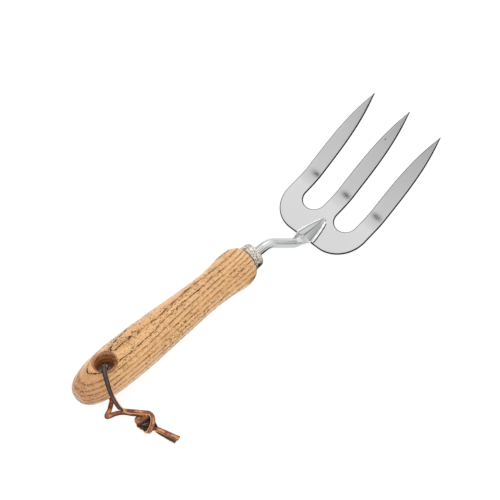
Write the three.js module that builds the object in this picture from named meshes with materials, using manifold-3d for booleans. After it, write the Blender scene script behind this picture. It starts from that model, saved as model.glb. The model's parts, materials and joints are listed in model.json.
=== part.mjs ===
// Hand weeding fork: a pressed steel head with three tines, welded to a cranked round stem
// whose tang is driven into a turned ash handle through a pinned ferrule. A leather thong is
// knotted through the hanging hole at the butt.
//
// Units are millimetres, +Z up. The fork lies as it would on a bench: the belly of the handle
// and the rear edge of the head touch the bench, so the handle rises slightly towards the
// head. The origin is the centre of the small flat on the butt, and +Y runs to the tines.
//
// Inside the "fork" group the handle axis is exactly +Y, and the stem bends in the YZ plane.
import * as THREE from 'three';
import { mergeVertices } from 'three/addons/utils/BufferGeometryUtils.js';
import { TessellateModifier } from 'three/addons/modifiers/TessellateModifier.js';
import Module from 'manifold-3d';

const wasm = await Module();
wasm.setup();

const degrees = THREE.MathUtils.degToRad;

// ---- driving dimensions ----------------------------------------------------------------

const restingPitch = degrees(3.8);
const gap = 0.3;
// how far a cutting tool runs past the face it breaks through
const past = 6;

const handle = {
  length: 154.6,
  buttFlatRadius: 5,
  bellyAt: 42,
  bellyRadius: 15.35,
  domePower: 2.75,
  // distance from the butt and radius, between the belly and the front shoulder
  grip: [[54, 15.2], [71, 14.35], [97, 13.0], [119, 12.2], [133, 13.15], [142.8, 14.3]],
  shoulderRadius: 9.7,
  sides: 40,
};

const hangingHole = { at: 24.8, radius: 3.9, mouthRadius: 8.2, mouthHeight: 15, sides: 28 };

const ferrule = {
  length: 8.6,
  rearRadius: 9.5,
  frontRadius: 9,
  wall: 1,
  endWall: 1.2,
  edge: 1.4,
  sides: 36,
};

const pin = { radius: 1.1, behindFerruleFront: 4.9, headAt: 8.8, length: 13.5, sides: 16 };

const stem = {
  radius: 3.5,
  tangStart: 86,
  tangPointLength: 14,
  tangPointRadius: 1,
  boreBeyondTang: 4,
  firstBendAt: 169.5,
  firstBendRadius: 18,
  crankAngle: degrees(42),
  crankStraight: 25.5,
  secondBendRadius: 9.5,
  sides: 20,
};

const head = {
  rearAt: 212.8,
  rearHeight: -26.1,
  pitch: degrees(13.4),
  thickness: 1.6,
  tineSpacing: 30.6,
  tineWidth: 13.2,
  // the outer tines lean away from the middle one by this much
  tineSplay: degrees(0.6),
  slotBottomAt: 20,
  tineLength: 117.5,
  middleTineExtra: 2.9,
  taperAt: 50,
  taperPower: 3,
  rearFlatHalf: 13.9,
  cornerLength: 24.1,
  bendAt: 33.3,
  bendLength: 15,
  bendAngle: degrees(14.3),
  tipRadius: 0.4,
};

const spear = {
  length: 20.5,
  halfWidth: 6.9,
  tipHalfWidth: 0.9,
  // the spear was welded on a little askew, so its middle line runs off to the right
  rearOffset: 0.6,
  tipOffset: 2.3,
  // the plan outline narrows as this power of the distance left to the tip
  outlinePower: 0.6,
  crown: 4.8,
  tipCrown: 1.1,
  flange: 1.1,
  // the rib takes up this share of the width
  ribShare: 0.62,
};

const bead = { radius: 0.75, from: 1.5, to: 18.5, sides: 8 };

const thong = {
  laceRadius: 1.25,
  sides: 8,
  knotCentre: [41, 21.5, -9.4],
  knotHalfSize: [7, 5.5, 3.6],
  // the loop, in the bench frame: from the knot over the side of the handle, down through
  // the hanging hole, and back under the handle to the knot
  loop: [
    [37, 21, -9], [30, 18.5, -8.5], [26.5, 15, -3], [23.8, 12.5, 5], [18.5, 13.5, 14.5],
    [11.5, 16.5, 18.8], [4, 22, 19.2], [0.6, 24.4, 14], [0, 24.7, 2], [0.4, 24.2, -11],
    [4, 20.5, -14.45], [10, 14.5, -14.2], [17, 8.5, -12.4], [24, 15, -11], [37, 21, -9.5],
  ],
  tail: [[43, 22, -9.5], [53, 25, -10.4], [64, 29, -10.9]],
};

// ---- materials -------------------------------------------------------------------------

const finish = (color, roughness, metalness) =>
  new THREE.MeshStandardMaterial({ color, roughness, metalness });

const ashWood = finish(0xdcae78, 0.4, 0);
const polishedSteel = finish(0xc9cacd, 0.28, 1);
const forgedSteel = finish(0xbfc0c2, 0.34, 1);
const ferruleSteel = finish(0xc4bdb4, 0.5, 1);
const pinSteel = finish(0x5c554e, 0.55, 1);
const weldSteel = finish(0xd8d8da, 0.4, 1);
const leather = finish(0x9c5a34, 0.7, 0);

// ---- solids ----------------------------------------------------------------------------

function asManifold(geometry) {
  const bare = geometry.clone();
  bare.deleteAttribute('normal');
  bare.deleteAttribute('uv');
  const merged = mergeVertices(bare, 1e-4);
  return new wasm.Manifold(new wasm.Mesh({
    numProp: 3,
    vertProperties: new Float32Array(merged.attributes.position.array),
    triVerts: new Uint32Array(merged.index.array),
  }));
}

function asGeometry(manifold) {
  const mesh = manifold.getMesh();
  const geometry = new THREE.BufferGeometry();
  geometry.setAttribute('position', new THREE.BufferAttribute(mesh.vertProperties, 3));
  geometry.setIndex(new THREE.BufferAttribute(mesh.triVerts, 1));
  geometry.computeVertexNormals();
  return geometry;
}

function cut(body, ...tools) {
  return asGeometry(tools.reduce((left, tool) => left.subtract(asManifold(tool)), asManifold(body)));
}

function join(...bodies) {
  return asGeometry(bodies.map(asManifold).reduce((sum, body) => sum.add(body)));
}

function named(name, geometry, material) {
  const mesh = new THREE.Mesh(geometry, material);
  mesh.name = name;
  return mesh;
}

// Turns a profile of [distance along Y, radius] points about the Y axis.
function turned(profile, sides) {
  return new THREE.LatheGeometry(profile.map(([y, r]) => new THREE.Vector2(r, y)), sides);
}

// Skins a list of rings, each with the same number of points, and closes both ends.
function loft(rings) {
  const count = rings[0].length;
  const centre = (ring) =>
    ring.reduce((sum, point) => sum.add(point), new THREE.Vector3()).divideScalar(count);
  const points = [...rings.flat(), centre(rings[0]), centre(rings[rings.length - 1])];
  const firstCentre = rings.length * count;
  const lastRing = (rings.length - 1) * count;
  const index = [];
  for (let i = 0; i < count; i++) {
    const next = (i + 1) % count;
    index.push(firstCentre, i, next);
    index.push(firstCentre + 1, lastRing + next, lastRing + i);
    for (let ring = 0; ring < lastRing; ring += count) {
      index.push(ring + i, ring + count + i, ring + next);
      index.push(ring + next, ring + count + i, ring + count + next);
    }
  }
  const geometry = new THREE.BufferGeometry().setFromPoints(points);
  geometry.setIndex(index);
  return geometry;
}

// ---- walking along a bent centre line in the YZ plane ----------------------------------

// A station holds a place and a heading. The heading is the angle above the handle axis.
function straight(station, length) {
  const { y, z, heading } = station;
  return { y: y + length * Math.cos(heading), z: z + length * Math.sin(heading), heading };
}

// Follows a circular bend, and a positive angle turns upwards. It returns every station.
function bend(station, radius, angle, steps) {
  const side = Math.sign(angle);
  const centreY = station.y - side * radius * Math.sin(station.heading);
  const centreZ = station.z + side * radius * Math.cos(station.heading);
  return Array.from({ length: steps }, (_, i) => {
    const heading = station.heading + (angle * (i + 1)) / steps;
    return {
      y: centreY + side * radius * Math.sin(heading),
      z: centreZ - side * radius * Math.cos(heading),
      heading,
    };
  });
}

// A point set off from a station, sideways by x and at right angles to the heading by h.
function offset({ y, z, heading }, x, h) {
  return new THREE.Vector3(x, y - h * Math.sin(heading), z + h * Math.cos(heading));
}

// ---- handle ----------------------------------------------------------------------------

// Points of [distance from the butt, radius]: a superellipse dome from the butt flat to the
// belly, a spline along the grip, and a quarter of an ellipse down the front shoulder.
function handleProfile() {
  const { bellyAt, bellyRadius, buttFlatRadius, shoulderRadius, length } = handle;
  const power = 2 / handle.domePower;
  const flatTurn = Math.asin((buttFlatRadius / bellyRadius) ** (1 / power));
  const flatCosine = Math.cos(flatTurn) ** power;
  const profile = [[0, 0]];
  const domeSteps = 10;
  for (let i = 0; i < domeSteps; i++) {
    const turn = flatTurn + (Math.PI / 2 - flatTurn) * (i / domeSteps);
    const away = Math.cos(turn) ** power / flatCosine;
    profile.push([bellyAt * (1 - away), bellyRadius * Math.sin(turn) ** power]);
  }
  const gripStations = [[bellyAt, bellyRadius], ...handle.grip];
  const grip = new THREE.SplineCurve(gripStations.map(([y, r]) => new THREE.Vector2(y, r)));
  const gripSteps = 16;
  grip.getPoints(gripSteps).forEach(({ x, y }) => profile.push([x, y]));
  const [bulbAt, bulbRadius] = handle.grip[handle.grip.length - 1];
  const shoulderSteps = 5;
  for (let i = 1; i <= shoulderSteps; i++) {
    const turn = (Math.PI / 2) * (i / shoulderSteps);
    const across = shoulderRadius + (bulbRadius - shoulderRadius) * Math.cos(turn);
    profile.push([bulbAt + (length - bulbAt) * Math.sin(turn), across]);
  }
  return profile;
}

function handleGeometry() {
  const spigotRadius = ferrule.frontRadius - ferrule.wall - gap;
  const spigotEnd = handle.length + ferrule.length - ferrule.endWall - gap;
  const spigot = [[handle.length, spigotRadius], [spigotEnd, spigotRadius], [spigotEnd, 0]];
  const body = turned([...handleProfile(), ...spigot], handle.sides);
  return cut(body, tangBoreCutter(), hangingHoleCutter(), pinHoleCutter());
}

// A blind bore for the tang, with a pointed inner end.
function tangBoreCutter() {
  const radius = stem.radius + gap;
  const inner = stem.tangStart - stem.boreBeyondTang;
  const outer = handle.length + ferrule.length + past;
  return turned([[inner, 0], [inner + radius, radius], [outer, radius], [outer, 0]], stem.sides);
}

// A drill through the handle with a 90 degree countersink at both mouths.
function hangingHoleCutter() {
  const { at, radius, mouthRadius, mouthHeight } = hangingHole;
  const sinkStart = mouthHeight - (mouthRadius - radius);
  const above = [[sinkStart, radius], [mouthHeight + past, mouthRadius + past]];
  const below = above.map(([height, r]) => [-height, r]).reverse();
  const profile = [[below[0][0], 0], ...below, ...above, [above[1][0], 0]];
  const drill = turned(profile, hangingHole.sides);
  drill.rotateX(Math.PI / 2);
  drill.translate(0, at, 0);
  return drill;
}

// ---- ferrule and its pin ---------------------------------------------------------------

// A cap with a rounded front edge, open at the back and bored for the stem.
function ferruleGeometry() {
  const { length, rearRadius, frontRadius, wall, endWall, edge } = ferrule;
  const rear = handle.length + gap;
  const front = handle.length + length;
  const stemHole = stem.radius + gap;
  const profile = [[rear, rearRadius - wall], [rear, rearRadius]];
  const edgeSteps = 4;
  for (let i = 0; i <= edgeSteps; i++) {
    const turn = (Math.PI / 2) * (i / edgeSteps);
    profile.push([
      front - edge + edge * Math.sin(turn),
      frontRadius - edge + edge * Math.cos(turn),
    ]);
  }
  profile.push([front, stemHole], [front - endWall, stemHole]);
  profile.push([front - endWall, frontRadius - wall], [rear, rearRadius - wall]);
  return cut(turned(profile, ferrule.sides), pinHoleCutter());
}

// A cylinder along X, centred on the tang, between the pin's inner end and the given x.
function crossPin(radius, innerEnd, outerEnd) {
  const length = outerEnd - innerEnd;
  const cylinder = new THREE.CylinderGeometry(radius, radius, length, pin.sides);
  cylinder.rotateZ(-Math.PI / 2);
  const at = handle.length + ferrule.length - pin.behindFerruleFront;
  cylinder.translate((innerEnd + outerEnd) / 2, at, 0);
  return cylinder;
}

function pinHoleCutter() {
  return crossPin(pin.radius + gap, pin.headAt - pin.length - gap, pin.headAt + past);
}

function pinGeometry() {
  return crossPin(pin.radius, pin.headAt - pin.length, pin.headAt);
}

// ---- stem: tang, crank and forged spear ------------------------------------------------

function circleSection(radius, sides) {
  return Array.from({ length: sides }, (_, i) => {
    const turn = (2 * Math.PI * i) / sides;
    return [radius * Math.cos(turn), radius * Math.sin(turn)];
  });
}

// A flat-bottomed section with a thin flange on each side of a rounded rib. Its first half
// runs over the top from right to left, and its second half comes back along the bottom.
function spearSection({ centre, halfWidth, crown }, bottom) {
  return Array.from({ length: stem.sides }, (_, i) => {
    const turn = (2 * Math.PI * i) / stem.sides;
    const across = Math.cos(turn);
    const x = centre + halfWidth * across;
    if (Math.sin(turn) < -1e-6) return [x, bottom];
    const rib = Math.max(0, 1 - (Math.abs(across) / spear.ribShare) ** 2);
    const flange = Math.min(spear.flange, crown);
    return [x, bottom + flange + (crown - flange) * rib];
  });
}

function mixSections(a, b, share) {
  return a.map(([x, h], i) => [x + (b[i][0] - x) * share, h + (b[i][1] - h) * share]);
}

const ringAt = (station, section) => section.map(([x, h]) => offset(station, x, h));

// The shape of the spear at distance s in front of the head's rear edge.
function spearShape(s) {
  const share = s / spear.length;
  const narrowing = spear.halfWidth * (1 - share) ** spear.outlinePower;
  return {
    centre: spear.rearOffset + (spear.tipOffset - spear.rearOffset) * share,
    halfWidth: Math.max(narrowing, spear.tipHalfWidth),
    crown: spear.crown + (spear.tipCrown - spear.crown) * share,
  };
}

function spearRings() {
  const steps = 9;
  return Array.from({ length: steps + 1 }, (_, i) => {
    const s = spear.length * (i / steps);
    return ringAt(headSurface(s), spearSection(spearShape(s), gap));
  });
}

// How far a station lies above the plane of the head's upper face.
function heightOverHead({ y, z }) {
  const { rearAt, rearHeight, pitch } = head;
  return (z - rearHeight) * Math.cos(pitch) - (y - rearAt) * Math.sin(pitch);
}

// Round rod through both bends, spreading into the spear's section along the second bend.
function rodRings() {
  const { sides, radius } = stem;
  const rod = circleSection(radius, sides);
  const tangTip = { y: stem.tangStart, z: 0, heading: 0 };
  const tangFull = straight(tangTip, stem.tangPointLength);
  const exit = straight(tangTip, stem.firstBendAt - stem.tangStart);
  const crank = bend(exit, stem.firstBendRadius, -stem.crankAngle, 6);
  const crankEnd = straight(crank[crank.length - 1], stem.crankStraight);
  const foot = bend(crankEnd, stem.secondBendRadius, stem.crankAngle + head.pitch, 8);
  const underside = gap - heightOverHead(foot[foot.length - 1]);
  const spread = spearSection(spearShape(0), underside);
  const spreadAtFootEnd = 0.6;
  const rings = [ringAt(tangTip, circleSection(stem.tangPointRadius, sides))];
  [tangFull, exit, ...crank, crankEnd].forEach((station) => rings.push(ringAt(station, rod)));
  foot.forEach((station, i) => {
    const share = spreadAtFootEnd * ((i + 1) / foot.length) ** 3;
    rings.push(ringAt(station, mixSections(rod, spread, share)));
  });
  return rings;
}

function stemGeometry() {
  return cut(loft([...rodRings(), ...spearRings()]), pinHoleCutter());
}

// ---- head ------------------------------------------------------------------------------

// The station on the head's upper face at distance s from its rear edge.
function headSurface(s) {
  const rear = { y: head.rearAt, z: head.rearHeight, heading: head.pitch };
  if (s <= head.bendAt) return straight(rear, s);
  const start = straight(rear, head.bendAt);
  const bent = Math.min(s - head.bendAt, head.bendLength);
  const radius = head.bendLength / head.bendAngle;
  const end = bend(start, radius, bent / radius, 1)[0];
  return straight(end, s - head.bendAt - bent);
}

// One long edge of a tine, from its root to its tip. side is +1 for the right-hand edge, and
// splay is the angle by which the tine leans away from the middle of the head.
function tineEdge(rootCentre, rootAt, tipAt, side, splay) {
  const centreAt = (s) => rootCentre + Math.tan(splay) * (s - rootAt);
  const half = head.tineWidth / 2;
  const edge = [new THREE.Vector2(rootCentre + side * half, rootAt)];
  const taperSteps = 12;
  for (let i = 0; i < taperSteps; i++) {
    const share = i / taperSteps;
    const width = Math.max(half * (1 - share ** head.taperPower), head.tipRadius);
    const s = head.taperAt + (tipAt - head.taperAt) * share;
    edge.push(new THREE.Vector2(centreAt(s) + side * width, s));
  }
  edge.push(new THREE.Vector2(centreAt(tipAt), tipAt));
  return edge;
}

// The flat blank, symmetrical about x = 0, with the rear edge on y = 0.
function headBlank() {
  const { tineSpacing, tineWidth, tineLength, tineSplay, slotBottomAt, rearFlatHalf, cornerLength } = head;
  const outer = tineSpacing + tineWidth / 2;
  const slotRadius = (tineSpacing - tineWidth) / 2;
  const slotCentreAt = slotBottomAt + slotRadius;
  const right = [];
  const cornerSteps = 10;
  for (let i = 0; i <= cornerSteps; i++) {
    const turn = (Math.PI / 2) * (i / cornerSteps);
    right.push(new THREE.Vector2(rearFlatHalf + (outer - rearFlatHalf) * Math.sin(turn),
      cornerLength * (1 - Math.cos(turn))));
  }
  right.push(...tineEdge(tineSpacing, head.bendAt, tineLength, 1, tineSplay));
  right.push(...tineEdge(tineSpacing, slotCentreAt, tineLength, -1, tineSplay).reverse().slice(1));
  const slotSteps = 10;
  for (let i = 1; i < slotSteps; i++) {
    const turn = Math.PI * (i / slotSteps);
    right.push(new THREE.Vector2(tineSpacing / 2 + slotRadius * Math.cos(turn),
      slotCentreAt - slotRadius * Math.sin(turn)));
  }
  right.push(...tineEdge(0, slotCentreAt, tineLength + head.middleTineExtra, 1, 0));
  const left = right.slice(0, -1).reverse().map(({ x, y }) => new THREE.Vector2(-x, y));
  return new THREE.Shape([...right, ...left]);
}

// The blank is cut flat, and then the tines are pressed up along the bend line.
function headGeometry() {
  const flat = new THREE.ExtrudeGeometry(headBlank(), { depth: head.thickness, bevelEnabled: false });
  const fine = new TessellateModifier(11, 8).modify(flat);
  const place = fine.attributes.position;
  for (let i = 0; i < place.count; i++) {
    const bent = offset(headSurface(place.getY(i)), place.getX(i), place.getZ(i) - head.thickness);
    place.setXYZ(i, bent.x, bent.y, bent.z);
  }
  return asGeometry(asManifold(fine));
}

// ---- weld beads ------------------------------------------------------------------------

// A bead runs along one side of the spear, in the corner between it and the head.
function beadGeometry(side) {
  const section = circleSection(bead.radius, bead.sides);
  const steps = 8;
  const rings = Array.from({ length: steps + 1 }, (_, i) => {
    const s = bead.from + (bead.to - bead.from) * (i / steps);
    const { centre, halfWidth } = spearShape(s);
    const x = centre + side * (halfWidth + gap + bead.radius);
    return section.map(([dx, h]) => offset(headSurface(s), x + dx, h + gap + bead.radius));
  });
  return loft(rings);
}

// ---- thong -----------------------------------------------------------------------------

function laceAlong(points, steps) {
  const path = new THREE.CatmullRomCurve3(points.map((point) => new THREE.Vector3(...point)));
  const outline = circleSection(thong.laceRadius, thong.sides);
  const section = new THREE.Shape(outline.map(([u, v]) => new THREE.Vector2(u, v)));
  return new THREE.ExtrudeGeometry(section, { steps, extrudePath: path, bevelEnabled: false });
}

function thongGeometry() {
  const knot = new THREE.SphereGeometry(1, 12, 8);
  knot.scale(...thong.knotHalfSize);
  knot.translate(...thong.knotCentre);
  return join(laceAlong(thong.loop, 56), knot, laceAlong(thong.tail, 6));
}

// ---- assembly --------------------------------------------------------------------------

const fork = new THREE.Group();
fork.rotation.x = restingPitch;
fork.add(
  named('handle', handleGeometry(), ashWood),
  named('ferrule', ferruleGeometry(), ferruleSteel),
  named('ferrule_pin', pinGeometry(), pinSteel),
  named('stem', stemGeometry(), forgedSteel),
  named('fork_head', headGeometry(), polishedSteel),
  named('weld_bead_left', beadGeometry(-1), weldSteel),
  named('weld_bead_right', beadGeometry(1), weldSteel),
);

const handCultivator = new THREE.Group();
handCultivator.add(fork, named('hanging_thong', thongGeometry(), leather));

export default handCultivator;
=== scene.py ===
"""The looks of a hand weeding fork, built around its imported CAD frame.

Lengths are millimetres until a mesh is made, and metres in Blender. "Fork space" has the
handle's axis on +Y with the butt flat at the origin. The bench frame is fork space tipped up
by the resting pitch, because the fork lies on the belly of its handle and the rear of its head.
"""

import json
import math

import bmesh
import bpy
import numpy as np
from mathutils import Matrix, Vector, noise
from mathutils.geometry import delaunay_2d_cdt


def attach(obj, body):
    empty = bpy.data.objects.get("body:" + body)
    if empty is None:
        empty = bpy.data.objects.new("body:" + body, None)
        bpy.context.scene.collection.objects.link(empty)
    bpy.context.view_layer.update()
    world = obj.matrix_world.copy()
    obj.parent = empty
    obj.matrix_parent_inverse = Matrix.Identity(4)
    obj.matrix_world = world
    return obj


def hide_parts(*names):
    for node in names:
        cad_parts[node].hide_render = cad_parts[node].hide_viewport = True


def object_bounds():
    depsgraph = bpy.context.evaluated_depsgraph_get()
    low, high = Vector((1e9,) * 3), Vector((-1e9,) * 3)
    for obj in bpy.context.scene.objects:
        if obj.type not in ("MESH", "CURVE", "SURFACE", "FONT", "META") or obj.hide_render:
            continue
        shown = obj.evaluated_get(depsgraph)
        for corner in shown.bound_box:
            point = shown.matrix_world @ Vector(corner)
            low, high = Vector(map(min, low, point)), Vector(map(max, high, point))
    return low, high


MM = 0.001

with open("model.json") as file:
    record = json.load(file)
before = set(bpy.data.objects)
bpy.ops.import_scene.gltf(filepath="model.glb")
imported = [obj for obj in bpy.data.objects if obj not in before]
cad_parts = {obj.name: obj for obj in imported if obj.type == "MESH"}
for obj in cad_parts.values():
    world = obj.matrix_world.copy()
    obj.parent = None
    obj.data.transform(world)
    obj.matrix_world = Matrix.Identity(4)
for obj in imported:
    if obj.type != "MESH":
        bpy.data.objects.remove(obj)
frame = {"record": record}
cad_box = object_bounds()


def mount_axis(name):
    return next(m for m in frame["record"]["mounts"] if m["name"] == name)["axis"]


# The butt faces straight back along the handle, so its axis gives the resting pitch.
BUTT_AXIS = mount_axis("butt_end")
PITCH = math.atan2(-BUTT_AXIS[2], -BUTT_AXIS[1])
FORK_SPACE = Matrix.Rotation(PITCH, 4, "X")
BENCH = Matrix.Identity(4)

# ---- driving dimensions, the same as the CAD's, in millimetres

HANDLE_LENGTH = 154.6
BUTT_FLAT_RADIUS = 5
BELLY_AT, BELLY_RADIUS = 42, 15.35
DOME_POWER = 2.75
GRIP = [(54, 15.2), (71, 14.35), (97, 13.0), (119, 12.2), (133, 13.15), (142.8, 14.3)]
SHOULDER_RADIUS = 9.7

HOLE_AT, HOLE_RADIUS = 24.8, 3.9
MOUTH_RADIUS, MOUTH_HEIGHT = 8.2, 15

FERRULE_LENGTH = 8.6
FERRULE_REAR_RADIUS, FERRULE_FRONT_RADIUS = 9.5, 9
FERRULE_WALL, FERRULE_END_WALL, FERRULE_EDGE = 1, 1.2, 1.4
CLEARANCE = 0.3

PIN_RADIUS, PIN_AT, PIN_HEAD_AT, PIN_LENGTH = 1.1, 158.3, 8.8, 13.5
ALONG_PIN = Matrix.Translation((0, PIN_AT, 0)) @ Matrix.Rotation(-math.pi / 2, 4, "Z")

ROD_RADIUS = 3.5
TANG_START, TANG_POINT_LENGTH, TANG_POINT_RADIUS = 86, 14, 1
BORE_BEYOND_TANG = 4
FIRST_BEND_AT, FIRST_BEND_RADIUS = 169.5, 18
CRANK_ANGLE, CRANK_STRAIGHT = math.radians(42), 25.5
SECOND_BEND_RADIUS = 9.5

HEAD_REAR = (212.8, -26.1)
HEAD_PITCH = math.radians(13.4)
SHEET = 1.6
TINE_SPACING, TINE_WIDTH, TINE_SPLAY = 30.6, 13.2, math.radians(0.6)
TINE_LENGTH, MIDDLE_TINE_EXTRA = 117.5, 2.9
TAPER_AT, TAPER_POWER, TIP_RADIUS = 50, 3, 0.4
SLOT_BOTTOM_AT = 20
REAR_FLAT_HALF, CORNER_LENGTH = 13.9, 24.1
BEND_AT, BEND_LENGTH, BEND_ANGLE = 33.3, 15, math.radians(14.3)

SPEAR_LENGTH, SPEAR_HALF_WIDTH, SPEAR_TIP_HALF_WIDTH = 20.5, 6.9, 0.9
SPEAR_REAR_OFFSET, SPEAR_TIP_OFFSET = 0.6, 2.3
SPEAR_CROWN, SPEAR_TIP_CROWN, SPEAR_FLANGE = 4.8, 1.1, 1.1


# ---- small geometry helpers --------------------

def mix(a, b, share):
    return a + (b - a) * share


def smoothstep(x):
    x = min(max(x, 0.0), 1.0)
    return x * x * (3 - 2 * x)


def add_to_scene(name, data):
    made = bpy.data.objects.new(name, data)
    bpy.context.scene.collection.objects.link(made)
    return made


def make_object(name, mesh, placement):
    """A smooth-shaded object from a mesh in millimetres."""
    mesh.transform(Matrix.Scale(MM, 4))
    made = add_to_scene(name, mesh)
    made.matrix_world = placement
    mesh.shade_smooth()
    return made


def plain_mesh(name, points, faces):
    mesh = bpy.data.meshes.new(name)
    mesh.from_pydata([tuple(p) for p in points], [], faces)
    return mesh


def face_outwards(mesh, merge_within=None):
    """Turns the faces outwards, after merging points closer than a distance."""
    built = bmesh.new()
    built.from_mesh(mesh)
    if merge_within:
        bmesh.ops.remove_doubles(built, verts=built.verts, dist=merge_within)
    bmesh.ops.recalc_face_normals(built, faces=built.faces)
    built.to_mesh(mesh)
    built.free()
    return mesh


def mesh_from(name, points, faces):
    mesh = plain_mesh(name, points, faces)
    mesh.validate()
    return face_outwards(mesh, merge_within=1e-4)


def bands(rings, sides):
    """The four-sided faces between rings that have the same number of sides."""
    faces = []
    for r in range(rings - 1):
        near, far = r * sides, (r + 1) * sides
        for i in range(sides):
            j = (i + 1) % sides
            faces.append((near + i, near + j, far + j, far + i))
    return faces


def skin(rings):
    """Points and faces of a tube through rings of equal length, with its two ends capped."""
    sides = len(rings[0])
    points = [p for ring in rings for p in ring]
    first_end = tuple(range(sides))
    last_end = tuple(range(len(points) - sides, len(points)))
    return points, bands(len(rings), sides) + [first_end, last_end]


def turned(profile, sides):
    """Points and faces of a profile of (distance along Y, radius), turned about the Y axis."""
    points = []
    for y, radius in profile:
        for i in range(sides):
            turn = 2 * math.pi * i / sides
            points.append((radius * math.cos(turn), y, radius * math.sin(turn)))
    return points, bands(len(profile), sides)


def mesh_with_values(name, rings, values):
    """A capped tube through rings, in which each named list gives every point a value."""
    mesh = plain_mesh(name, *skin(rings))
    for key, numbers in values.items():
        mesh.attributes.new(key, "FLOAT", "POINT").data.foreach_set("value", numbers)
    return face_outwards(mesh)


def quarter_arc(centre, radius, start, end, steps):
    """Points of an arc about centre, with angles in degrees."""
    turns = [math.radians(mix(start, end, i / steps)) for i in range(steps + 1)]
    return [(centre[0] + radius * math.cos(t), centre[1] + radius * math.sin(t)) for t in turns]


def cut_away(target, cutter):
    """Cuts the cutter's volume out of the target and throws the cutter away."""
    modifier = target.modifiers.new("cut", "BOOLEAN")
    modifier.object, modifier.operation, modifier.solver = cutter, "DIFFERENCE", "EXACT"
    bpy.context.view_layer.update()
    evaluated = target.evaluated_get(bpy.context.evaluated_depsgraph_get())
    finished = bpy.data.meshes.new_from_object(evaluated)
    target.modifiers.clear()
    target.data = finished
    bpy.data.objects.remove(cutter)


def soften_edges(target, near, sharper_than, rounds, reach):
    """Rounds the sharp edges for which near(point in mm) is true, by smoothing around them."""
    mesh = bmesh.new()
    mesh.from_mesh(target.data)
    sharp = [e for e in mesh.edges if len(e.link_faces) == 2
             and e.calc_face_angle(0) > sharper_than and near(e.verts[0].co / MM)]
    chosen = {v for e in sharp for v in e.verts}
    for _ in range(reach):
        chosen |= {e.other_vert(v) for v in chosen for e in v.link_edges}
    for _ in range(rounds):
        bmesh.ops.smooth_vert(mesh, verts=list(chosen), factor=0.5,
                              use_axis_x=True, use_axis_y=True, use_axis_z=True)
    mesh.to_mesh(target.data)
    mesh.free()


def sharpen(target, angle):
    target.data.shade_smooth()
    target.data.set_sharp_from_angle(angle=math.radians(angle))


# ---- walking along a bent centre line in the YZ plane ----

def straight(station, length):
    y, z, heading = station
    return y + length * math.cos(heading), z + length * math.sin(heading), heading


def bend(station, radius, angle, steps):
    """The stations along a circular bend. A positive angle turns upwards."""
    y, z, heading = station
    side = math.copysign(1, angle)
    centre_y = y - side * radius * math.sin(heading)
    centre_z = z + side * radius * math.cos(heading)
    stations = []
    for i in range(1, steps + 1):
        turned_to = heading + angle * i / steps
        stations.append((centre_y + side * radius * math.sin(turned_to),
                         centre_z - side * radius * math.cos(turned_to), turned_to))
    return stations


def offset(station, x, h):
    """A point set off from a station, sideways by x and at right angles to it by h."""
    y, z, heading = station
    return x, y - h * math.sin(heading), z + h * math.cos(heading)


# ---- handle ------------------------------------

def grip_radius(y):
    """A smooth curve through the grip stations, level at the belly and at the front bulb."""
    stations = [(BELLY_AT, BELLY_RADIUS)] + GRIP
    slopes = [0.0]
    for before, after in zip(stations, stations[2:]):
        slopes.append((after[1] - before[1]) / (after[0] - before[0]))
    slopes.append(0.0)
    k = max(i for i in range(len(stations) - 1) if stations[i][0] <= y)
    (y0, r0), (y1, r1) = stations[k], stations[k + 1]
    span = y1 - y0
    t = (y - y0) / span
    return (r0 * (2 * t**3 - 3 * t**2 + 1) + slopes[k] * span * (t**3 - 2 * t**2 + t)
            + r1 * (3 * t**2 - 2 * t**3) + slopes[k + 1] * span * (t**3 - t**2))


def handle_profile():
    power = 2 / DOME_POWER
    flat_turn = math.asin((BUTT_FLAT_RADIUS / BELLY_RADIUS) ** (1 / power))
    flat_cosine = math.cos(flat_turn) ** power
    profile = [(0, BUTT_FLAT_RADIUS * share) for share in (0, 0.5, 0.9)]
    dome_steps = 44
    for i in range(dome_steps):
        turn = mix(flat_turn, math.pi / 2, i / dome_steps)
        away = math.cos(turn) ** power / flat_cosine
        profile.append((BELLY_AT * (1 - away), BELLY_RADIUS * math.sin(turn) ** power))
    bulb_at, bulb_radius = GRIP[-1]
    grip_steps = 110
    for i in range(grip_steps + 1):
        y = min(mix(BELLY_AT, bulb_at, i / grip_steps), bulb_at - 1e-6)
        profile.append((y, grip_radius(y)))
    shoulder_steps = 22
    for i in range(1, shoulder_steps + 1):
        turn = math.pi / 2 * i / shoulder_steps
        profile.append((bulb_at + (HANDLE_LENGTH - bulb_at) * math.sin(turn),
                        mix(SHOULDER_RADIUS, bulb_radius, math.cos(turn))))
    return profile


def spigot_and_bore():
    """The rest of the handle's profile: its front face, the spigot, and the blind tang bore."""
    spigot = FERRULE_FRONT_RADIUS - FERRULE_WALL - CLEARANCE
    spigot_end = HANDLE_LENGTH + FERRULE_LENGTH - FERRULE_END_WALL - CLEARANCE
    bore = ROD_RADIUS + CLEARANCE
    bore_end = TANG_START - BORE_BEYOND_TANG
    return [(HANDLE_LENGTH, spigot), (spigot_end, spigot), (spigot_end, bore),
            (bore_end + bore, bore), (bore_end, 0)]


def hanging_drill():
    """A drill through the handle, with a countersink at both mouths."""
    past = 6
    sink_start = MOUTH_HEIGHT - (MOUTH_RADIUS - HOLE_RADIUS)
    above = [(sink_start, HOLE_RADIUS), (MOUTH_HEIGHT + past, MOUTH_RADIUS + past)]
    below = [(-h, r) for h, r in reversed(above)]
    profile = [(below[0][0], 0)] + below + above + [(above[1][0], 0)]
    mesh = mesh_from("drill", *turned(profile, 96))
    mesh.transform(Matrix.Translation((0, HOLE_AT, 0)) @ Matrix.Rotation(math.pi / 2, 4, "X"))
    return make_object("drill", mesh, FORK_SPACE)


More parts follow.
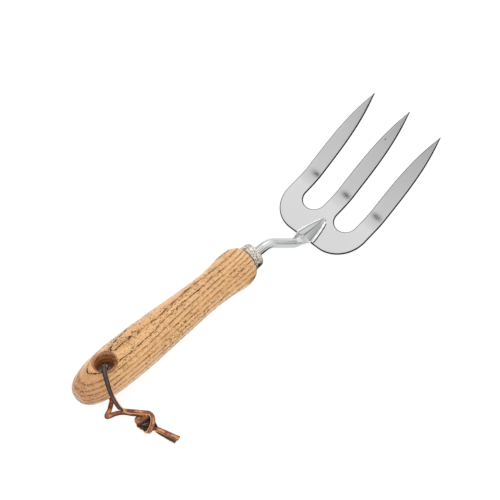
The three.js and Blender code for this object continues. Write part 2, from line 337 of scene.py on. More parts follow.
def pin_drill():
    start, end, bore = -6, 20, PIN_RADIUS + 0.1
    mesh = mesh_from("pin_drill", *turned([(start, 0), (start, bore), (end, bore), (end, 0)], 32))
    mesh.transform(ALONG_PIN)
    return make_object("pin_drill", mesh, FORK_SPACE)


def build_handle():
    """The turned handle, drilled for the thong and the pin, with rounded hole mouths."""
    mesh = mesh_from("ash_handle", *turned(handle_profile() + spigot_and_bore(), 144))
    handle = make_object("ash_handle", mesh, FORK_SPACE)
    cut_away(handle, hanging_drill())
    cut_away(handle, pin_drill())
    mouth_reach, mouth_depth = MOUTH_RADIUS + 3.5, 8

    def near_mouth(p):
        return math.hypot(p.x, p.y - HOLE_AT) < mouth_reach and abs(p.z) > mouth_depth

    soften_edges(handle, near_mouth, math.radians(18), rounds=4, reach=1)
    sharpen(handle, 40)
    return handle


# ---- ferrule and pin ---------------------------

def build_ferrule():
    rear = HANDLE_LENGTH + CLEARANCE
    front = HANDLE_LENGTH + FERRULE_LENGTH
    bore = ROD_RADIUS + CLEARANCE
    lip = 0.25
    outside = quarter_arc((rear + lip, FERRULE_REAR_RADIUS - lip), lip, 180, 90, 4)
    skirt_steps = 14
    start, end = outside[-1], (front - FERRULE_EDGE, FERRULE_FRONT_RADIUS)
    shares = [i / skirt_steps for i in range(1, skirt_steps)]
    outside += [(mix(start[0], end[0], t), mix(start[1], end[1], t)) for t in shares]
    outside += quarter_arc((front - FERRULE_EDGE, FERRULE_FRONT_RADIUS - FERRULE_EDGE),
                           FERRULE_EDGE, 90, 0, 10)
    outside += [(front, mix(FERRULE_FRONT_RADIUS - FERRULE_EDGE, bore, t)) for t in (0.3, 0.6)]
    outside += [(front, bore + 0.15), (front - 0.15, bore)]
    inside = [(front - FERRULE_END_WALL, bore),
              (front - FERRULE_END_WALL, FERRULE_FRONT_RADIUS - FERRULE_WALL),
              (rear, FERRULE_REAR_RADIUS - FERRULE_WALL), outside[0]]
    points, faces = turned(outside + inside, 144)
    dent, grain = 0.05, 0.9
    inner = FERRULE_FRONT_RADIUS - FERRULE_WALL + 0.2
    worn = []
    for p in points:
        p = Vector(p)
        around = Vector((p.x, 0, p.z))
        if around.length > inner:
            p += around.normalized() * dent * noise.noise(p * grain)
        worn.append(p)
    ferrule = make_object("ferrule_cap", mesh_from("ferrule_cap", worn, faces), FORK_SPACE)
    cut_away(ferrule, pin_drill())
    sharpen(ferrule, 40)
    return ferrule


def build_pin():
    dome, edge = 0.35, 0.25
    inner = PIN_HEAD_AT - PIN_LENGTH
    profile = [(inner, 0), (inner, PIN_RADIUS - edge), (inner + edge, PIN_RADIUS),
               (PIN_HEAD_AT - dome - edge, PIN_RADIUS)]
    steps = 8
    for i in range(1, steps + 1):
        turn = math.pi / 2 * i / steps
        profile.append((PIN_HEAD_AT - dome - edge + (dome + edge) * math.sin(turn),
                        PIN_RADIUS * max(math.cos(turn), 0) ** 0.5))
    mesh = mesh_from("ferrule_cross_pin", *turned(profile, 40))
    mesh.transform(ALONG_PIN)
    pin = make_object("ferrule_cross_pin", mesh, FORK_SPACE)
    sharpen(pin, 40)
    return pin


# ---- head --------------------------------------

def head_surface(s):
    """The station on the head's upper face at distance s in front of its rear edge."""
    rear = (*HEAD_REAR, HEAD_PITCH)
    if s <= BEND_AT:
        return straight(rear, s)
    bent = min(s - BEND_AT, BEND_LENGTH)
    radius = BEND_LENGTH / BEND_ANGLE
    end = bend(straight(rear, BEND_AT), radius, bent / radius, 1)[0]
    return straight(end, s - BEND_AT - bent)


def tine_edge(root_centre, root_at, tip_at, side, splay):
    """One long edge of a tine, from its root round to the middle of its tip."""
    half = TINE_WIDTH / 2

    def centre_at(s):
        return root_centre + math.tan(splay) * (s - root_at)

    edge = []
    root_steps, taper_steps = 22, 64
    for i in range(root_steps):
        s = mix(root_at, TAPER_AT, i / root_steps)
        edge.append((centre_at(s) + side * half, s))
    for i in range(taper_steps):
        share = i / taper_steps
        s = mix(TAPER_AT, tip_at, share)
        edge.append((centre_at(s) + side * max(half * (1 - share**TAPER_POWER), TIP_RADIUS), s))
    edge.append((centre_at(tip_at), tip_at))
    return edge


def head_outline():
    """The flat blank's outline as (x, s), symmetrical about x = 0."""
    outer = TINE_SPACING + TINE_WIDTH / 2
    slot_radius = (TINE_SPACING - TINE_WIDTH) / 2
    slot_centre = SLOT_BOTTOM_AT + slot_radius
    rear_steps, corner_steps, slot_steps = 14, 40, 32
    right = [(REAR_FLAT_HALF * i / rear_steps, 0.0) for i in range(1, rear_steps)]
    for i in range(corner_steps + 1):
        turn = math.pi / 2 * i / corner_steps
        right.append((mix(REAR_FLAT_HALF, outer, math.sin(turn)),
                      CORNER_LENGTH * (1 - math.cos(turn))))
    right += tine_edge(TINE_SPACING, BEND_AT, TINE_LENGTH, 1, TINE_SPLAY)
    right += tine_edge(TINE_SPACING, slot_centre, TINE_LENGTH, -1, TINE_SPLAY)[-2::-1]
    for i in range(1, slot_steps):
        turn = math.pi * i / slot_steps
        right.append((TINE_SPACING / 2 + slot_radius * math.cos(turn),
                      slot_centre - slot_radius * math.sin(turn)))
    right += tine_edge(0, slot_centre, TINE_LENGTH + MIDDLE_TINE_EXTRA, 1, 0)
    left = [(-x, s) for x, s in reversed(right[:-1])]
    return [(0.0, 0.0)] + right + left


def inward_normals(outline):
    along = np.roll(outline, -1, axis=0) - np.roll(outline, 1, axis=0)
    along /= np.linalg.norm(along, axis=1)[:, None]
    return np.stack([-along[:, 1], along[:, 0]], axis=1)


def filled(outline, spacing):
    """Triangles that fill an outline, through an even grid of points inside it."""
    low, high = outline.min(axis=0), outline.max(axis=0)
    row_height = spacing * math.sqrt(3) / 2
    rows = int((high[1] - low[1]) / row_height)
    columns = int((high[0] - low[0]) / spacing)
    grid = []
    for r in range(rows):
        y = low[1] + (r + 0.4) * row_height
        shift = 0.5 * (r % 2) + 0.3
        grid += [(low[0] + (c + shift) * spacing, y) for c in range(columns)]
    grid = np.array(grid)
    nearest = np.min(np.linalg.norm(grid[:, None, :] - outline[None, :, :], axis=2), axis=1)
    keep_off = spacing * 0.6
    grid = grid[nearest > keep_off]
    points = [Vector(p) for p in np.vstack([outline, grid])]
    edges = [(i, (i + 1) % len(outline)) for i in range(len(outline))]
    places, _, triangles, *_ = delaunay_2d_cdt(points, edges, [], 1, 1e-5)
    used = sorted({k for triangle in triangles for k in triangle})
    renumbered = {k: i for i, k in enumerate(used)}
    return [tuple(places[k]) for k in used], [tuple(renumbered[k] for k in t) for t in triangles]


def crown_at_bend(x, s):
    """The slight arch a bend leaves across each tine: how far its edges sink below its middle."""
    rise, reach, peak_share = 0.16, 6.5, 0.72
    spacing = TINE_SPACING + math.tan(TINE_SPLAY) * (s - BEND_AT)
    from_middle = x - spacing * min(max(round(x / spacing), -1), 1)
    along = (s - BEND_AT - BEND_LENGTH * peak_share) / reach
    return rise * (from_middle / (TINE_WIDTH / 2)) ** 2 * math.exp(-along**2)


def mark_cut_edge(head):
    """Gives the ground edge round the sheet, its only four-sided faces, the second material."""
    for face in head.data.polygons:
        if len(face.vertices) == 4:
            face.material_index = 1


def build_head():
    """A flat blank with rounded edges, which are finer at the tips, pressed up along the bend."""
    outline = np.array(head_outline())
    edge_radius, arc_steps, share_at_tips, fine_over = 0.7, 5, 0.45, 10
    from_tip = np.clip((TINE_LENGTH - outline[:, 1:]) / fine_over, 0, 1)
    inward = inward_normals(outline) * mix(share_at_tips, 1, from_tip)
    rim = []
    for i in range(arc_steps + 1):
        turn = math.pi / 2 * i / arc_steps
        rim.append((edge_radius * (1 - math.sin(turn)), -edge_radius * (1 - math.cos(turn))))
    rim += [(inset, -SHEET - h) for inset, h in reversed(rim)]
    points = []
    for inset, h in rim:
        points += [(x, s, h) for x, s in outline + inward * inset]
    faces = bands(len(rim), len(outline))
    cap_points, cap_faces = filled(outline + inward * edge_radius, spacing=1.3)
    for h, order in ((0, 1), (-SHEET, -1)):
        first = len(points)
        points += [(x, s, h) for x, s in cap_points]
        faces += [tuple(first + k for k in f)[::order] for f in cap_faces]
    bent = [offset(head_surface(s), x, h - crown_at_bend(x, s)) for x, s, h in points]
    head = make_object("tine_head", mesh_from("tine_head", bent, faces), FORK_SPACE)
    weighted = head.modifiers.new("flat faces stay flat", "WEIGHTED_NORMAL")
    weighted.keep_sharp = True
    return head


# ---- stem --------------------------------------

SECTION_SIDES = 72
RIDGE_ACROSS = 0.12
RIB_SHARE = 0.8
# how late the round rod spreads into the spear, as a power of the distance covered
SPREAD_POWER = 2.6


def circle_section(radius, lift=0.0):
    turns = [2 * math.pi * i / SECTION_SIDES for i in range(SECTION_SIDES)]
    return [(radius * math.cos(t), radius * math.sin(t) + lift) for t in turns]


def rib_height(across):
    """The forged rib, from 0 at its feet to 1 at its ridge, with nearly straight flanks."""
    ridge_round, flank_power = 0.05, 1.2
    reach = (RIB_SHARE - RIDGE_ACROSS) if across > RIDGE_ACROSS else (RIB_SHARE + RIDGE_ACROSS)
    away = math.sqrt(((across - RIDGE_ACROSS) / reach) ** 2 + ridge_round**2) - ridge_round
    return max(0.0, 1 - away) ** flank_power


def spear_shape(s):
    """The spear's middle line, half width and height at distance s from its rear."""
    outline_power = 0.6
    share = min(max(s / SPEAR_LENGTH, 0), 1)
    narrowed = SPEAR_HALF_WIDTH * (1 - share) ** outline_power
    return (mix(SPEAR_REAR_OFFSET, SPEAR_TIP_OFFSET, share), max(narrowed, SPEAR_TIP_HALF_WIDTH),
            mix(SPEAR_CROWN, SPEAR_TIP_CROWN, share))


def spear_section(s, underside):
    """Thin flanges either side of a ridged rib, on a flat underside."""
    centre, half_width, crown = spear_shape(s)
    flange = min(SPEAR_FLANGE, crown)
    section = []
    for i in range(SECTION_SIDES):
        turn = 2 * math.pi * i / SECTION_SIDES
        across = math.cos(turn)
        x = centre + half_width * across
        if math.sin(turn) < -1e-6:
            section.append((x, underside))
        else:
            section.append((x, underside + flange + (crown - flange) * rib_height(across)))
    return section


def crease_marks():
    """Marks the points of a spear section at its ridge and at the feet of its rib."""
    marks = [0.0] * SECTION_SIDES
    for across in (RIDGE_ACROSS, -RIB_SHARE, RIB_SHARE):
        marks[round(math.acos(across) / (2 * math.pi) * SECTION_SIDES)] = 1.0
    return marks


def mixed_sections(a, b, share):
    return [(mix(p[0], q[0], share), mix(p[1], q[1], share)) for p, q in zip(a, b)]


def ring_at(station, section):
    return [offset(station, x, h) for x, h in section]


def height_over_head(station):
    y, z, _ = station
    rear_y, rear_z = HEAD_REAR
    return (z - rear_z) * math.cos(HEAD_PITCH) - (y - rear_y) * math.sin(HEAD_PITCH)


def rod_rings():
    """The tang and the rod through the first bend, up to the start of the second."""
    rod = circle_section(ROD_RADIUS)
    tang_tip = (TANG_START, 0, 0)
    rings = [ring_at(tang_tip, circle_section(TANG_POINT_RADIUS * 0.5)),
             ring_at(straight(tang_tip, 0.5), circle_section(TANG_POINT_RADIUS))]
    tang_full = straight(tang_tip, TANG_POINT_LENGTH)
    before_bend = straight(tang_tip, FIRST_BEND_AT - TANG_START)
    straight_steps = 24
    for i in range(straight_steps + 1):
        y = mix(tang_full[0], before_bend[0], i / straight_steps)
        rings.append(ring_at((y, 0, 0), rod))
    crank = bend(before_bend, FIRST_BEND_RADIUS, -CRANK_ANGLE, 24)
    crank_steps = 10
    crank_line = [straight(crank[-1], CRANK_STRAIGHT * (i + 1) / crank_steps)
                  for i in range(crank_steps)]
    rings += [ring_at(station, rod) for station in crank + crank_line]
    return rings, crank_line[-1]


def foot_rings(crank_end):
    """The rod spreads into the spear as it turns the second bend and meets the head."""
    rod = circle_section(ROD_RADIUS)
    turn = CRANK_ANGLE + HEAD_PITCH
    foot = bend(crank_end, SECOND_BEND_RADIUS, turn, 26)
    lift = height_over_head(foot[-1])
    run_in = math.sqrt(math.dist(foot[-1][:2], HEAD_REAR) ** 2 - lift**2)
    foot_length = SECOND_BEND_RADIUS * turn
    spread_over = foot_length + run_in
    spread = spear_section(0, CLEARANCE - lift)
    rings = []
    for i, station in enumerate(foot):
        share = (foot_length * (i + 1) / len(foot) / spread_over) ** SPREAD_POWER
        rings.append(ring_at(station, mixed_sections(rod, spread, share)))
    lifted_rod = circle_section(ROD_RADIUS, lift)
    lowered_spread = spear_section(0, CLEARANCE)
    run_steps = 6
    for i in range(1, run_steps):
        s = -run_in * (1 - i / run_steps)
        share = ((spread_over + s) / spread_over) ** SPREAD_POWER
        rings.append(ring_at(head_surface(s), mixed_sections(lifted_rod, lowered_spread, share)))
    return rings


def build_stem():
    """The whole forging as one tube of rings, from the tang's point to the spear's tip."""
    rings, crank_end = rod_rings()
    rings += foot_rings(crank_end)
    crease = [0.0] * len(rings) * SECTION_SIDES
    spear_steps = 34
    for i in range(spear_steps + 1):
        s = SPEAR_LENGTH * i / spear_steps
        rings.append(ring_at(head_surface(s), spear_section(s, CLEARANCE)))
        crease += crease_marks()
    mesh = mesh_with_values("crank_stem", rings, {"crease": crease})
    stem = make_object("crank_stem", mesh, FORK_SPACE)
    cut_away(stem, pin_drill())
    sharpen(stem, 50)
    return stem


# ---- welds -------------------------------------

def build_weld(name, side):
    """A weld run beside the spear, in uneven ripples. The right-hand run ends in a blob."""
    start, end, radius = 0.8, 19.2, 1.05
    beside_spear, wider, flatter, lift = 0.35, 1.15, 0.9, 0.5
    rings, toe = [], []
    steps, sides = 90, 24
    for i in range(steps + 1):
        s = mix(start, end, i / steps)
        centre, half_width, _ = spear_shape(s)
        wave = noise.noise(Vector((s * 0.55, side * 7.3, 0.4)))
        ripple = 0.06 * math.sin(s * 5.2 + 2.4 * wave)
        ends = math.sqrt(max(1 - (2 * i / steps - 1) ** 8, 0.02))
        blob = 0.35 * math.exp(-((end - 0.9 - s) / 0.7) ** 2) if side > 0 else 0
        here = radius * (1 + 0.2 * wave + ripple + blob) * ends
        x = centre + side * (half_width + beside_spear)
        ring = []
        for k in range(sides):
            turn = 2 * math.pi * k / sides
            across = math.cos(turn) * here * wider
            up = max(math.sin(turn) * here * flatter + lift, 0.04)
            ring.append(offset(head_surface(s), x + across, up))
            toe.append(abs(math.cos(turn)))
        rings.append(ring)
    return make_object(name, mesh_with_values(name, rings, {"toe": toe}), FORK_SPACE)


# ---- thong -------------------------------------

LACE_HALF_WIDTH, LACE_HALF_THICKNESS = 1.6, 0.7

# Places along the lace in the bench frame, each with the direction its grain side faces there.
# The first run goes from the middle of the hanging hole over the side of the handle and round
# the knot to its tail, and the second run goes out underneath and through the knot.
UPPER_RUN = [
    ((0.3, 24.5, 2), (0.8, -0.6, 0)),
    ((0.6, 24.2, 9), (0.8, -0.6, -0.1)),
    ((2.0, 22.2, 15.2), (0.5, -0.4, -0.8)),
    ((5.2, 18.9, 17.9), (0.1, -0.1, -1)),
    ((8.4, 16.7, 18.0), (-0.1, 0.15, -1)),
    ((11.5, 15.0, 17.3), (-0.2, 0.35, -0.9)),
    ((15.0, 13.3, 15.8), (-0.25, 0.5, -0.8)),
    ((19.0, 11.5, 14.3), (-0.2, 0.6, -0.7)),
    ((22.1, 10.8, 11.6), (-0.15, 0.75, -0.6)),
    ((23.8, 11.9, 5.8), (-0.25, 0.68, -0.68)),
    ((24.8, 14.1, -1.0), (-0.3, 0.65, -0.65)),
    ((25.4, 16.9, -5.6), (0.2, 0.95, -0.2)),
    ((26.2, 18.9, -7.7), (0.3, 0.5, 0.8)),
    ((27.5, 20.6, -8.4), (0.1, 0.1, 1)),
    ((30.2, 22.5, -8.0), (0, 0, 1)),
    ((32.9, 24.4, -7.6), (0, 0.1, 1)),
    ((35.7, 26.2, -6.9), (0, 0.2, 1)),
    ((38.4, 27.8, -6.8), (0.2, 0.4, 0.9)),
    ((41.5, 27.2, -7.3), (0.5, 0.3, 0.85)),
    ((44.3, 24.6, -8.4), (0.6, 0, 0.8)),
    ((45.5, 21.5, -11.0), (0.75, -0.3, 0.5)),
    ((44.8, 19.6, -13.3), (0.6, -0.7, -0.4)),
    ((42.2, 20.4, -14.4), (0, 0, -1)),
    ((39.4, 21.1, -14.2), (-0.3, 0, -0.9)),
    ((37.3, 19.4, -13.3), (-0.9, -0.6, -0.2)),
    ((37.2, 19.2, -12.4), (-0.3, 0.2, -0.9)),
    ((39.4, 20.6, -12.2), (0, 0, -1)),
    ((41.4, 22.8, -12.2), (0, 0, -1)),
    ((42.1, 24.8, -12.0), (0, 0, -1)),
    ((40.4, 26.8, -11.8), (0, 0, -1)),
    ((38.3, 26.7, -11.6), (0, 0, -1)),
    ((38.9, 23.9, -11.4), (0, 0, -1)),
    ((38.1, 21.8, -11.4), (0, 0, -1)),
    ((37.6, 20.0, -12.6), (-0.8, -0.5, -0.1)),
    ((39.8, 20.2, -14.4), (0, 0, 1)),
    ((43.6, 23.6, -14.0), (0, 0.1, 1)),
    ((47.4, 25.6, -12.9), (0, 0, 1)),
    ((50.8, 26.8, -12.9), (0.1, -0.2, 1)),
    ((56.0, 28.7, -13.2), (0.1, -0.3, 1)),
    ((62.2, 30.9, -13.5), (0.1, -0.2, 1)),
]
LOWER_RUN = [
    ((0.3, 24.5, -7), (0.8, -0.6, 0.1)),
    ((1.6, 23.9, -12.4), (0.6, -0.4, 0.7)),
    ((4.8, 22.6, -14.3), (0.1, 0, 1)),
    ((9.2, 20.9, -14.1), (0.1, 0, 1)),
    ((12.3, 17.2, -13.7), (0.2, -0.1, 1)),
    ((15.2, 13.1, -13.4), (0.4, -0.3, 0.85)),
    ((16.4, 10.3, -13.4), (0.2, -0.5, 0.8)),
    ((17.6, 9.2, -13.2), (0.1, -0.5, 0.85)),
    ((18.6, 11.2, -13.0), (0.2, -0.4, 0.9)),
    ((19.5, 13.7, -12.8), (0.2, -0.3, 0.95)),
    ((21.2, 16.6, -12.5), (0.1, -0.2, 1)),
    ((23.9, 19.0, -11.8), (0.1, -0.2, 1)),
    ((27.6, 20.9, -10.9), (0.1, -0.3, 1)),
    ((30.3, 22.8, -10.7), (0, -0.2, 1)),
    ((33.2, 24.4, -10.6), (0, 0, 1)),
    ((35.9, 25.2, -10.9), (0.1, 0, 1)),
    ((35.6, 23.4, -11.1), (0, 0, 1)),
    ((33.6, 21.2, -10.8), (-0.3, -0.2, 0.9)),
    ((34.2, 19.8, -10.3), (-0.7, -0.5, 0.5)),
    ((36.2, 19.0, -9.6), (-0.5, -0.6, 0.6)),
    ((38.0, 19.2, -8.8), (-0.5, -0.4, 0.7)),
    ((39.2, 22.5, -7.9), (-0.7, 0, 0.7)),
    ((38.5, 26.9, -8.4), (-0.5, 0.3, 0.8)),
    ((40.3, 28.1, -11.0), (0.2, 0.9, 0.3)),
    ((43.9, 26.6, -13.0), (0.4, 0.7, -0.6)),
    ((48.2, 25.5, -13.9), (0, 0.2, -1)),
    ((56.0, 27.0, -14.3), (0, 0.2, -1)),
    ((62.0, 28.4, -14.4), (0, 0.2, -1)),
]


def catmull(a, b, c, d, t):
    """A smooth curve from b to c, at share t, as it comes from a and goes on to d."""
    return 0.5 * (2 * b + (c - a) * t + (2 * a - 5 * b + 4 * c - d) * t**2
                  + (3 * b - a - 3 * c + d) * t**3)


def lace_section(width_scale, thickness_scale):
    """A flat strap's section as (across, through) pairs, with its corners rounded."""
    sides, squareness = 20, 0.42

    def squared(value):
        return math.copysign(abs(value) ** squareness, value)

    half_width = LACE_HALF_WIDTH * width_scale
    half_thickness = LACE_HALF_THICKNESS * thickness_scale
    turns = [2 * math.pi * i / sides for i in range(sides)]
    return [(half_width * squared(math.cos(t)), half_thickness * squared(math.sin(t))) for t in turns]


def build_thong():
    """The lace as one strap from tail to tail, swept along a smooth line through its places."""
    run = list(reversed(UPPER_RUN)) + LOWER_RUN
    places = [Vector(p) for p, _ in run]
    faces_to = [Vector(n).normalized() for _, n in run]
    places = [2 * places[0] - places[1]] + places + [2 * places[-1] - places[-2]]
    faces_to = [faces_to[0]] + faces_to + [faces_to[-1]]
    per_span = 10
    line, facing = [], []
    for k in range(1, len(places) - 2):
        for i in range(per_span):
            t = i / per_span
            line.append(catmull(*places[k - 1:k + 3], t))
            facing.append(faces_to[k].lerp(faces_to[k + 1], smoothstep(t)))
    line.append(places[-2])
    facing.append(faces_to[-2])
    rings, grain, edge = [], [], []
    for k, centre in enumerate(line):
        ahead = line[min(k + 1, len(line) - 1)] - line[max(k - 1, 0)]
        ahead.normalize()
        through = (facing[k] - ahead * facing[k].dot(ahead)).normalized()
        across = ahead.cross(through)
        width = 1 + 0.07 * noise.noise(centre * 0.45)
        thickness = 1 + 0.1 * noise.noise(centre * 0.3 + Vector((9, 0, 0)))
        section = lace_section(width, thickness)
        rings.append([centre + across * a + through * t for a, t in section])
        grain += [t / LACE_HALF_THICKNESS for _, t in section]
        edge += [a / LACE_HALF_WIDTH for a, _ in section]
    mesh = mesh_with_values("leather_thong", rings, {"grain_side": grain, "across_lace": edge})
    return make_object("leather_thong", mesh, BENCH)


# ---- materials ---------------------------------

def srgb(red, green, blue):
    """A linear colour from 8-bit display values."""
    def linear(value):
        value /= 255
        return value / 12.92 if value <= 0.04045 else ((value + 0.055) / 1.055) ** 2.4
    return (linear(red), linear(green), linear(blue), 1)


def feed(tree, socket, value):
    """Links another socket to this one, or sets its value."""
    if isinstance(value, bpy.types.NodeSocket):
        tree.links.new(value, socket)
    else:
        socket.default_value = value


def make_node(tree, kind, inputs=None, **properties):
    node = tree.nodes.new("ShaderNode" + kind)
    for key, value in properties.items():
        setattr(node, key, value)
    for key, value in (inputs or {}).items():
        feed(tree, node.inputs[key], value)
    return node


def set_stops(ramp, stops):
    """Gives a colour ramp its (position, colour) stops."""
    elements = ramp.color_ramp.elements
    while len(elements) < len(stops):
        elements.new(0.5)
    for element, (position, color) in zip(elements, stops):
        element.position = position
        element.color = color


class Shader:
    """Builds a Principled material's node tree. Inputs may be values or other sockets."""

    def __init__(self, name):
        self.material = bpy.data.materials.new(name)
        self.material.use_nodes = True
        self.tree = self.material.node_tree
        self.principled = self.tree.nodes["Principled BSDF"]

    def node(self, kind, inputs=None, **properties):
        return make_node(self.tree, kind, inputs, **properties)

    def set(self, **inputs):
        for key, value in inputs.items():
            feed(self.tree, self.principled.inputs[key.replace("_", " ")], value)

    def place(self, scale):
        """Object space in millimetres, times a scale for each axis."""
        coordinates = self.node("TexCoord").outputs["Object"]
        return self.node("VectorMath", {0: coordinates, 1: tuple(s / MM for s in scale)},
                         operation="MULTIPLY").outputs[0]

    def noise(self, scale, detail, roughness=0.5):
        """Noise in object space, with a scale for each axis."""
        return self.node("TexNoise", {"Vector": self.place(scale), "Scale": 1.0, "Detail": detail,
                                      "Roughness": roughness}).outputs[0]

    def math(self, operation, a, b=0.0, clamp=False):
        return self.node("Math", {0: a, 1: b}, operation=operation, use_clamp=clamp).outputs[0]

    def times(self, a, b, clamp=False):
        return self.math("MULTIPLY", a, b, clamp)

    def between(self, value, low, high, new_low=0.0, new_high=1.0):
        return self.node("MapRange", {"Value": value, "From Min": low, "From Max": high,
                                      "To Min": new_low, "To Max": new_high}).outputs[0]

    def blend(self, share, a, b, mode="MIX"):
        # a Mix node's colours are its inputs 6 and 7, and its output 2
        inputs = {"Factor": share, 6: a, 7: b}
        return self.node("Mix", inputs, data_type="RGBA", blend_type=mode).outputs[2]

    def value(self, name):
        """A value stored on the mesh's points."""
        return self.node("Attribute", attribute_name=name).outputs["Fac"]

    def along(self, axis):
        """Object space along one axis, in millimetres."""
        return self.node("SeparateXYZ", {0: self.place((1, 1, 1))}).outputs[axis]

    def reach_from(self, axes, centre):
        """Distance in millimetres from a centre, measured only along the axes marked 1."""
        return self.node("VectorMath", {0: self.place(axes), 1: centre},
                         operation="DISTANCE").outputs["Value"]

    def ramp(self, value, stops):
        node = self.node("ValToRGB", {"Fac": value})
        set_stops(node, stops)
        return node.outputs[0]

    def bump(self, height, strength, distance):
        return self.node("Bump", {"Height": height, "Strength": strength,
                                  "Distance": distance}).outputs[0]


def ash_wood():
    """Turned ash: growth rings cut along their length, with rows of open pores, and varnish."""
    wood = Shader("ash wood, varnished")
    ring_spacing = 3.3
    bark_side = (-0.16, 0.045, 1.0)
    # the grain twists about the handle's axis on its way to the ferrule
    twist = wood.between(wood.along("Y"), 20, HANDLE_LENGTH)
    twisted = wood.node("VectorRotate", {"Vector": wood.place((1, 1, 1)), "Angle": twist},
                        rotation_type="Y_AXIS").outputs[0]
    wander = wood.noise((0.05, 0.011, 0.05), detail=2)
    ripple = wood.noise((0.3, 0.06, 0.3), detail=3)
    depth = wood.node("VectorMath", {0: twisted, 1: bark_side},
                      operation="DOT_PRODUCT").outputs["Value"]
    depth = wood.math("ADD", depth, wood.between(wander, 0, 1, -2.8, 2.8))
    depth = wood.math("ADD", depth, wood.between(ripple, 0, 1, -0.7, 0.7))
    ring = wood.math("FRACT", wood.math("DIVIDE", depth, ring_spacing))

    # the rows of pores sit at the start of each ring
    from_row = wood.math("ABSOLUTE", wood.math("SUBTRACT", ring, 0.15))
    row = wood.between(from_row, 0.04, 0.065, 1, 0)
    dashes = wood.between(wood.noise((1.3, 0.3, 1.3), detail=1), 0.43, 0.48)
    row_pores = wood.times(row, dashes, clamp=True)
    fine = wood.between(wood.noise((1.5, 0.5, 1.5), detail=1), 0.57, 0.62)
    patches = wood.between(wood.noise((0.1, 0.035, 0.1), detail=1), 0.42, 0.58)
    fine_pores = wood.times(fine, wood.between(patches, 0, 1, 0.22, 0.85), clamp=True)
    pores = wood.math("MAXIMUM", row_pores, fine_pores, clamp=True)

    late = srgb(186, 130, 76)
    tone = wood.ramp(ring, [(0.0, late), (0.2, srgb(200, 144, 86)), (0.6, srgb(228, 178, 118)),
                            (0.92, srgb(208, 155, 97)), (1.0, late)])
    streaks = wood.noise((0.9, 0.02, 0.9), detail=4)
    tone = wood.blend(wood.between(streaks, 0.35, 0.7, 0.0, 0.35), tone, srgb(184, 126, 74))
    warm = wood.noise((0.06, 0.02, 0.06), detail=2)
    tone = wood.blend(wood.between(warm, 0.4, 0.65, 0, 0.25), tone, srgb(228, 166, 106))
    speckle = wood.noise((1.7, 0.7, 1.7), detail=2)
    tone = wood.blend(wood.between(speckle, 0.4, 0.62, 0, 0.4), tone, srgb(244, 202, 146))
    color = wood.blend(wood.times(pores, 0.97), tone, srgb(44, 18, 6))

    # polish has darkened the end grain of the butt
    butt = wood.between(wood.along("Y"), 20, 2, 0, 0.9)
    color = wood.blend(butt, color, srgb(208, 186, 172), mode="MULTIPLY")
    # painted shade darkens the edge against the ferrule, for the gap to it
    front = wood.between(wood.along("Y"), HANDLE_LENGTH - 0.9, HANDLE_LENGTH - 0.1, 0, 0.8)
    color = wood.blend(front, color, srgb(84, 52, 34))

    # painted shade darkens the wood inside the hanging hole, and a painted dark ring of shade lines
    # its lip
    from_hole = wood.reach_from((1, 1, 0), (0, HOLE_AT, 0))
    inside = wood.between(from_hole, MOUTH_RADIUS + 0.3, MOUTH_RADIUS - 0.6)
    hole_shade = wood.times(inside, 0.8)
    color = wood.blend(hole_shade, color, srgb(186, 142, 112), mode="MULTIPLY")
    # a painted dark ring of shade along the lip of the hole
    from_lip = wood.math("ABSOLUTE", wood.math("SUBTRACT", from_hole, MOUTH_RADIUS))
    color = wood.blend(wood.between(from_lip, 0.2, 0.7, 0.7, 0), color, srgb(92, 56, 34))

    height = wood.math("SUBTRACT", wood.times(streaks, 0.25), pores)
    sheen = wood.math("SUBTRACT", 1.0, pores)
    wood.set(Base_Color=color, Roughness=wood.between(streaks, 0, 1, 0.38, 0.52),
             Specular_IOR_Level=wood.times(sheen, 0.4),
             Coat_Weight=wood.times(sheen, 0.7),
             Coat_Roughness=0.12, Normal=wood.bump(height, 0.35, 0.15 * MM))
    return wood.material


def satin_steel(name, color, roughness, streaks, pit=None, shaded_creases=False):
    """Polished steel with faint brushing along Y, perhaps a dark pit, and perhaps painted shade and
    painted dark reflection as lines along its creases.
    """
    steel = Shader(name)
    brushed = steel.noise(streaks, detail=3)
    clouds = steel.noise((0.08, 0.05, 0.08), detail=3)
    tint = steel.blend(steel.between(clouds, 0.3, 0.7, 0, 0.12), color, srgb(180, 182, 188))
    if pit:
        in_pit = steel.between(steel.reach_from((1, 1, 1), pit), 0.3, 0.9, 0.8, 0)
        tint = steel.blend(in_pit, tint, srgb(60, 60, 62))
    # painted shade and painted dark reflection: dark lines along the spear's ridge and the feet of
    # its rib
    if shaded_creases:
        crease_shade = steel.between(steel.value("crease"), 0.1, 0.5, 0, 0.9)
        tint = steel.blend(crease_shade, tint, srgb(44, 44, 46))
    steel.set(Base_Color=tint, Metallic=1.0,
              Roughness=steel.math("ADD", steel.between(brushed, 0.3, 0.7, 0, 0.07), roughness),
              Normal=steel.bump(brushed, 0.06, 0.03 * MM))
    return steel.material


